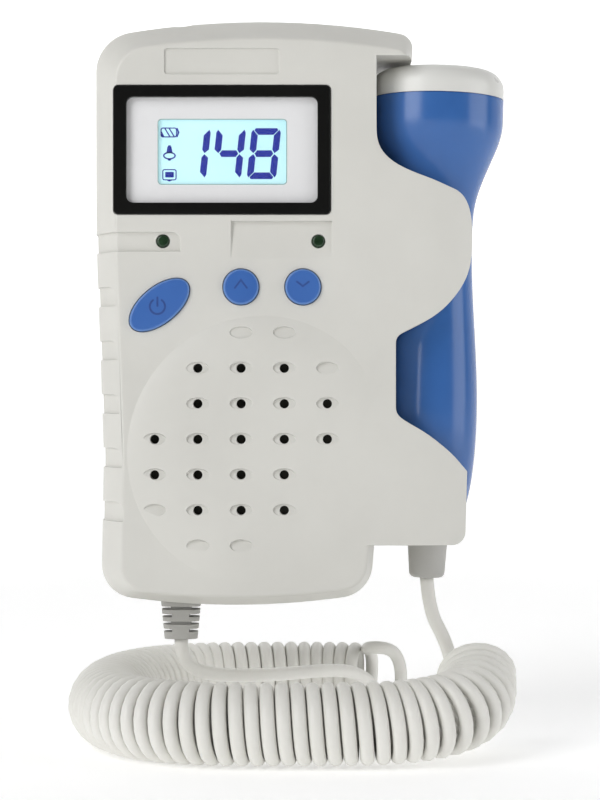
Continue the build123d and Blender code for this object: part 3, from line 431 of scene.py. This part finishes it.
def flat_piece(name, shapes, front, body, finish, thick=PRINT):
    """Front-view shapes in mm, cut from a thin sheet whose front is at this depth.

    A shape is one loop, or an outer and an inner loop.
    """
    verts, faces = [], []

    def add_loop(loop, level):
        start = len(verts)
        verts.extend((x * MM, level * MM, z * MM) for x, z in loop)
        return list(range(start, start + len(loop)))

    for shape in shapes:
        loops = shape if isinstance(shape[0][0], tuple) else [anticlockwise(shape)]
        fronts = [add_loop(loop, front) for loop in loops]
        backs = [add_loop(loop, front + thick) for loop in loops]
        for order, (near, far) in enumerate(zip(fronts, backs)):
            for i in range(len(near)):
                j = (i + 1) % len(near)
                side = [near[i], near[j], far[j], far[i]]
                faces.append(side if order else side[::-1])
        if len(loops) == 1:
            faces += [fronts[0], backs[0][::-1]]
        else:
            for i in range(len(loops[0])):
                j = (i + 1) % len(loops[0])
                faces.append([fronts[0][i], fronts[0][j], fronts[1][j], fronts[1][i]])
                faces.append([backs[0][j], backs[0][i], backs[1][i], backs[1][j]])
    obj = add_piece(name, verts, faces)
    obj.data.validate()
    obj.data.update()
    obj.data.materials.append(materials[finish])
    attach(obj, body)
    return obj


def rounded_loop(centre, size, corner, steps=6):
    """A rounded rectangle, anticlockwise in the front view."""
    loop = []
    for quarter, (sx, sz) in enumerate(((1, 1), (-1, 1), (-1, -1), (1, -1))):
        cx = centre[0] + sx * (size[0] / 2 - corner)
        cz = centre[1] + sz * (size[1] / 2 - corner)
        for step in range(steps + 1):
            a = math.radians(90 * quarter + 90 * step / steps)
            loop.append((cx + corner * math.cos(a), cz + corner * math.sin(a)))
    return loop


def rounded_ring(centre, size, corner, hole, hole_corner):
    """A rounded rectangle with a smaller one cut out of its middle."""
    return [rounded_loop(centre, size, corner), rounded_loop(centre, hole, hole_corner)]


def round_points(centre, radii, degrees):
    """Points on an oval, one at each of these angles."""
    x, z = centre
    angles = [math.radians(d) for d in degrees]
    return [(x + radii[0] * math.cos(a), z + radii[1] * math.sin(a)) for a in angles]


def oval_loop(centre, radii, steps=32):
    """An oval, anticlockwise in the front view."""
    return round_points(centre, radii, [360.0 * i / steps for i in range(steps)])


def round_end(centre, before, radius):
    """The half circle that ends a line which comes from the point before."""
    x, z = centre
    heading = math.atan2(z - before[1], x - before[0])
    angles = [heading + math.pi / 2 - math.pi * k / 6 for k in range(1, 6)]
    return [(x + radius * math.cos(a), z + radius * math.sin(a)) for a in angles]


def stroke(points, width):
    """A line of this width through the points, with round ends."""
    half = width / 2
    left, right = [], []
    for i, p in enumerate(points):
        before = points[max(i - 1, 0)]
        after = points[min(i + 1, len(points) - 1)]
        d = Vector((after[0] - before[0], after[1] - before[1])).normalized()
        bend = 1.0
        if 0 < i < len(points) - 1:
            step = Vector((p[0] - before[0], p[1] - before[1])).normalized()
            bend = 1 / max(0.35, step.dot(d))
        left.append((p[0] - d.y * half * bend, p[1] + d.x * half * bend))
        right.append((p[0] + d.y * half * bend, p[1] - d.x * half * bend))
    end = round_end(points[-1], points[-2], half)
    start = round_end(points[0], points[1], half)
    return left + end + right[::-1] + start


# the clear window, a hair clear of the mask behind it
lens = flat_piece(
    "window", [rounded_loop((-17.76, 37.0), (43.26, 23.86), 1.5, 10)],
    front=-34.9, thick=1.07, body="unit", finish="lens",
)
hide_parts("display_lens")

# a dark sheet behind the grille, seen only through its holes: painted shade that keeps the holes
# dark
flat_piece(
    "grille_shade_sheet", [oval_loop((-13.4, -29.0), (23, 23), steps=48)],
    front=-32.83, thick=0.3, body="unit", finish="speaker_paper",
)

# the display: three slanted digits, three icons and a thin line round the opening
LCD_FRONT = -33.26
DIGIT = (6.7, 11.6)  # width and height of a digit
STROKE = 1.5  # width of its bars
SLANT = 0.105  # lean to the right for each mm of height
GAP = 0.13  # between neighbouring bars
DIGITS_FOOT = 30.52
DIGITS = ((-28.2, "bc"), (-20.2, "fgbc"), (-12.2, "abcdefg"))  # left edge and lit bars


def segments():
    """The seven bars of an upright digit, as loops in mm from its lower left corner."""
    w, h = DIGIT
    m, t, g = h / 2, STROKE, GAP
    upper = [
        (0.0, h - 1.05), (0.0, m + 0.95), (t * 0.62, m + g),
        (t, m + t / 2 + g), (t, h - t - g), (0.34, h - 0.36),
    ]
    tip, foot = 0.5 + g, 0.5 + 0.42
    level = [
        (t + g, t), (tip, g + 0.34), (foot, 0.0),
        (w - foot, 0.0), (w - tip, g + 0.34), (w - t - g, t),
    ]
    nose, flank = t * 0.72 + g, t + g + 0.1
    middle = [
        (nose, m), (flank, m - t / 2), (w - flank, m - t / 2),
        (w - nose, m), (w - flank, m + t / 2), (flank, m + t / 2),
    ]
    return {
        "f": upper,
        "e": [(x, h - z) for x, z in upper],
        "b": [(w - x, z) for x, z in upper],
        "c": [(w - x, h - z) for x, z in upper],
        "d": level,
        "a": [(x, h - z) for x, z in level],
        "g": middle,
    }


def print_on_display(name, shapes):
    """Dark shapes on the display's front."""
    flat_piece(name, shapes, front=LCD_FRONT, body="unit", finish="segment")


bars = segments()
print_on_display("lcd_digits", [
    [(left + x + SLANT * z, DIGITS_FOOT + z) for x, z in bars[key]]
    for left, lit in DIGITS for key in lit
])

battery = (-29.95, 41.15)
monitor = (-29.8, 31.5)
bell = (-29.8, 35.85)
print_on_display("lcd_icons", [
    rounded_ring(battery, (3.75, 2.25), 0.55, (3.3, 1.8), 0.36),
    [
        (-28.2, 40.1), (-27.95, 40.1), (-27.52, 41.15),
        (-27.95, 42.2), (-28.2, 42.2), (-27.92, 41.15),
    ],
    [(-31.7, 40.2), (-30.95, 40.2), (-31.7, 41.7)],
    [(-31.0, 42.1), (-30.7, 42.1), (-29.55, 40.2), (-29.85, 40.2)],
    [(-30.0, 42.1), (-29.7, 42.1), (-28.55, 40.2), (-28.85, 40.2)],
    rounded_ring(monitor, (3.25, 2.55), 0.5, (2.8, 2.1), 0.3),
    rounded_loop((-29.78, 31.52), (1.95, 1.25), 0.2),
    [(-30.5, 30.25), (-29.8, 29.95), (-29.1, 30.25)],
    [oval_loop(bell, (1.46, 0.86)), oval_loop(bell, (1.14, 0.56))],
    [
        (-30.5, 36.4), (-29.1, 36.4), (-29.32, 37.75),
        (-29.55, 38.2), (-30.05, 38.2), (-30.28, 37.75),
    ],
    oval_loop((-29.8, 34.95), (0.4, 0.24), steps=16),
])

flat_piece(
    "lcd_outline", [rounded_ring((-17.7, 36.68), (29.5, 15.0), 0.9, (29.14, 14.64), 0.74)],
    front=-33.83, thick=0.03, body="unit", finish="outline",
)

# the signs on the keys
KEY_FRONT = -35.92
POWER_X, POWER_Z = -32.36, 1.34  # middle of the power sign's ring
power_ring = round_points((POWER_X, POWER_Z), (1.72, 1.72), range(125, 416, 10))
power_bar = [(POWER_X, POWER_Z + 2.0), (POWER_X, POWER_Z + 0.1)]
SIGNS = {
    "power": [stroke(power_ring, 0.46), stroke(power_bar, 0.46)],
    "up": [stroke([(-14.78, 5.55), (-13.42, 7.35), (-12.06, 5.55)], 0.4)],
    "down": [stroke([(-0.68, 6.95), (0.66, 5.95), (2.0, 6.95)], 0.44)],
}
for key, lines in SIGNS.items():
    flat_piece(
        f"{key}_sign", lines,
        front=KEY_FRONT, body=f"{key}_button", finish="symbol",
    )


# ---------------------------------------------------------------- curly cord, in mm
LEAD = [
    (-28, -17.5, -76), (-28, -17.5, -80.5), (-24.6, -16.2, -84), (-17, -12.6, -85.6),
    (-5, -5, -86.2), (7, 6.5, -86.6), (14, 12.4, -87.8), (18.2, 16.2, -91.4),
    (21.2, 18.8, -96.4), (25.2, 21.2, -95.8), (26, 22.6, -89.4), (24.6, 22.6, -84.4),
    (21.6, 21.4, -82.8), (17, 21.6, -82.8),
]
COIL = [
    (18, 27.6, -91.6), (9, 30.6, -91.6), (-10, 30.6, -91.6), (-32, 28, -91.6),
    (-45.8, 8, -91.6), (-45.8, -27, -91.6), (-30, -47, -91.6), (0, -48.6, -91.6),
    (21, -48.4, -91.4), (33, -44.6, -90.2), (39.4, -36.5, -88.6), (40.9, -28.5, -86.2),
    (41, -22.5, -82.2),
]
TAIL = [
    (36.2, -18.8, -88.4), (35.8, -17, -82), (34.2, -16.8, -76.4), (30.4, -17.5, -69.4),
    (29.85, -17.5, -61.6),
]
WIRE = 1.62  # radius of the wire
TURN_RADIUS = 7.7  # from the coil's line to the wire's middle
PITCH = 3.42  # from turn to turn where the coil runs straight
SQUEEZED = 2.1  # the least pitch on the inside of a bend
FANNED = 3.7  # the most on its outside
LAST_ANGLE = math.radians(195)  # where the wire leaves its last turn, from the top
TURN_POINTS = 22
SIDES = 12
ROUTE_STEP = 0.1  # between the samples of the coil's line
END_STEP = 1.2  # between the points of the lead and of the tail
ROUTE_WIDTH, TANGENT_WIDTH, BEND_WIDTH, PITCH_WIDTH = 50, 20, 90, 40  # samples each way


def smooth_route(points):
    """Points read from the NURBS curve that has these control points."""
    curve = bpy.data.curves.new("route", "CURVE")
    curve.dimensions = "3D"
    curve.resolution_u = 24
    spline = curve.splines.new("NURBS")
    spline.points.add(len(points) - 1)
    for point, place in zip(spline.points, points):
        point.co = (*(c * MM for c in place), 1.0)
    spline.order_u = 3
    spline.use_endpoint_u = True
    holder = bpy.data.objects.new("route", curve)
    scene.collection.objects.link(holder)
    bpy.context.view_layer.update()
    mesh = bpy.data.meshes.new_from_object(holder)
    found = np.array([v.co for v in mesh.vertices])
    bpy.data.objects.remove(holder)
    return found / MM


def between(at, known, rows):
    """The rows, read at these distances."""
    return np.stack([np.interp(at, known, column) for column in rows.T], axis=-1)


def evenly(points, step):
    """The same line, with points this far apart, and the distance of each."""
    lengths = np.r_[0, np.cumsum(np.linalg.norm(np.diff(points, axis=0), axis=1))]
    count = int(lengths[-1] / step)
    at = np.linspace(0, lengths[-1], count + 1)
    return between(at, lengths, points), at


def smoothed(values, width):
    """A running average over this many samples each way, with the end values held."""
    if values.ndim > 1:
        return np.column_stack([smoothed(column, width) for column in values.T])
    kernel = np.hanning(2 * width + 1)
    padded = np.r_[np.full(width, values[0]), values, np.full(width, values[-1])]
    return np.convolve(padded, kernel / kernel.sum(), "valid")


def directions(rows):
    """Each row as a direction of length one."""
    return rows / np.linalg.norm(rows, axis=1)[:, None]


def cord_line():
    """The wire's own centreline: a lead, the turns round the coil's line, and a tail."""
    route, _ = evenly(smooth_route(COIL), ROUTE_STEP)
    route, at = evenly(smoothed(route, ROUTE_WIDTH), ROUTE_STEP)
    tangent = directions(smoothed(np.gradient(route, axis=0), TANGENT_WIDTH))
    bend = np.linalg.norm(np.gradient(tangent, axis=0), axis=1) / ROUTE_STEP
    bend = smoothed(bend, BEND_WIDTH)
    up = directions(np.array([0, 0, 1.0]) - tangent[:, 2:3] * tangent)
    side = np.cross(tangent, up)

    # the turns touch on the inside of a bend and fan out on its outside
    pitch = np.minimum(PITCH, FANNED / (1 + bend * TURN_RADIUS))
    pitch = smoothed(np.maximum(pitch, SQUEEZED / (1 - bend * TURN_RADIUS)), PITCH_WIDTH)
    angle = np.cumsum(2 * math.pi / pitch) * ROUTE_STEP
    last = angle[-1] - (angle[-1] - LAST_ANGLE) % (2 * math.pi)
    turns = []
    for a in np.linspace(0, last, round(last / (2 * math.pi) * TURN_POINTS) + 1):
        mark = np.interp(a, angle, at)
        c, u, n = (between(mark, at, rows) for rows in (route, up, side))
        turns.append(c + TURN_RADIUS * (math.cos(a) * u + math.sin(a) * n))
    turns = np.array(turns)
    lead, _ = evenly(smooth_route(LEAD + [tuple(turns[0])]), END_STEP)
    tail, _ = evenly(smooth_route([tuple(turns[-1])] + TAIL), END_STEP)
    return np.vstack([lead[:-1], turns, tail[1:]])


def tube(name, line, radius):
    """A round wire along the line, closed at both ends."""
    tangents = directions(np.gradient(line, axis=0))
    normal = np.cross(tangents[0], (0, 1.0, 0))
    verts = []
    for p, t in zip(line, tangents):
        normal = normal - t * normal.dot(t)
        normal /= np.linalg.norm(normal)
        other = np.cross(t, normal)
        for k in range(SIDES):
            a = 2 * math.pi * k / SIDES
            verts.append((p + radius * (math.cos(a) * normal + math.sin(a) * other)) * MM)
    faces = []
    for i in range(len(line) - 1):
        for k in range(SIDES):
            a, b = i * SIDES + k, i * SIDES + (k + 1) % SIDES
            faces.append((a, b, b + SIDES, a + SIDES))
    last = (len(line) - 1) * SIDES
    faces.append(tuple(range(SIDES))[::-1])
    faces.append(tuple(range(last, last + SIDES)))
    obj = add_piece(name, [tuple(v) for v in verts], faces)
    obj.data.update()
    for face in obj.data.polygons:
        face.use_smooth = len(face.vertices) == 4
    return obj


wire_line = cord_line()
cord = tube("cord", wire_line, WIRE)
cord.data.materials.append(materials["cord_white"])
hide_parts("cord_lead", "curly_cord", "cord_tail")
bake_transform(cord)


# ---------------------------------------------------------------- stage, light, camera
WHITE = (1.0, 1.0, 1.0, 1.0)


def make_stage(half_width=2.6, front=-2.4, rise=0.25, sweep=0.45, top=2.2):
    """A pale floor that sweeps up into a backdrop, which shows from its front only."""
    profile = [(front, 0.0), (rise, 0.0)]
    for a in np.linspace(0.1, math.pi / 2, 16):
        profile.append((rise + sweep * math.sin(a), sweep - sweep * math.cos(a)))
    profile.append((rise + sweep, top))
    verts = [(x, y, FLOOR + z) for y, z in profile for x in (-half_width, half_width)]
    faces = [(2 * i, 2 * i + 1, 2 * i + 3, 2 * i + 2) for i in range(len(profile) - 1)]
    obj = add_piece("floor", verts, faces)
    for face in obj.data.polygons:
        face.use_smooth = True

    # it glows a little, and up to pure white for the camera further out
    s = Surface("paper", Roughness=0.9)
    s.shader.inputs["Emission Color"].default_value = WHITE
    far = s.add("ShaderNodeVectorMath", operation="LENGTH")
    s.link(s.place, far.inputs[0])
    glow = s.add("ShaderNodeMath", operation="MULTIPLY_ADD")
    s.link(s.spread(far.outputs["Value"], 0.35, 1.1, 0.0, 0.7), glow.inputs[0])
    s.link(s.add("ShaderNodeLightPath").outputs["Is Camera Ray"], glow.inputs[1])
    glow.inputs[2].default_value = 0.3
    s.link(glow.outputs[0], s.shader.inputs["Emission Strength"])
    s.colour(s.ramp(s.noise(3.0, detail=2.0), [(0.3, (250, 250, 250)), (0.7, (253, 253, 253))]))

    clear = s.add("ShaderNodeBsdfTransparent")
    side = s.add("ShaderNodeNewGeometry")
    both = s.add("ShaderNodeMixShader")
    s.link(side.outputs["Backfacing"], both.inputs[0])
    s.link(s.shader.outputs[0], both.inputs[1])
    s.link(clear.outputs[0], both.inputs[2])
    s.link(both.outputs[0], s.tree.nodes["Material Output"].inputs["Surface"])
    obj.data.materials.append(s.mat)


def area_light(name, place, target, size, power):
    """A soft box of this width and height, turned towards its target."""
    light = bpy.data.lights.new(name, "AREA")
    light.shape = "RECTANGLE"
    light.size, light.size_y = size
    light.energy = power
    obj = bpy.data.objects.new(name, light)
    scene.collection.objects.link(obj)
    obj.location = place
    obj.rotation_euler = (Vector(target) - Vector(place)).to_track_quat("-Z", "Y").to_euler()


def make_world(light=0.13, backdrop=1.0):
    """A dim white sky that lights the part, and a white one that only the camera sees."""
    world = bpy.data.worlds.new("studio")
    world.use_nodes = True
    tree = world.node_tree
    either = tree.nodes.new("ShaderNodeMixShader")
    seen = tree.nodes.new("ShaderNodeLightPath")
    tree.links.new(seen.outputs["Is Camera Ray"], either.inputs[0])
    skies = (tree.nodes["Background"], light), (tree.nodes.new("ShaderNodeBackground"), backdrop)
    for index, (sky, strength) in enumerate(skies, start=1):
        sky.inputs["Color"].default_value = WHITE
        sky.inputs["Strength"].default_value = strength
        tree.links.new(sky.outputs[0], either.inputs[index])
    tree.links.new(either.outputs[0], tree.nodes["World Output"].inputs["Surface"])
    scene.world = world
    scene.view_settings.view_transform = "Standard"


def make_camera(place, focal_length):
    """A level camera in front of the part."""
    camera = bpy.data.cameras.new("camera")
    camera.sensor_width = 36.0
    camera.lens = focal_length
    camera.clip_start = 0.02
    eye = bpy.data.objects.new("camera", camera)
    eye.location = place
    eye.rotation_euler = (math.pi / 2, 0.0, 0.0)
    scene.collection.objects.link(eye)
    scene.camera = eye


make_stage()
area_light("left_box", (-0.98, -1.02, 0.60), target=(0, -0.02, 0.0), size=(0.8, 1.4), power=14.0)
area_light("right_box", (0.88, -0.28, 0.16), target=(0, -0.02, 0.0), size=(0.6, 0.8), power=3.3)
area_light("top_box", (0.0, -0.2, 0.85), target=(0, 0, -0.02), size=(0.5, 0.5), power=0.5)
make_world()
make_camera(place=(0.0, -0.512, -0.0199), focal_length=94.41)
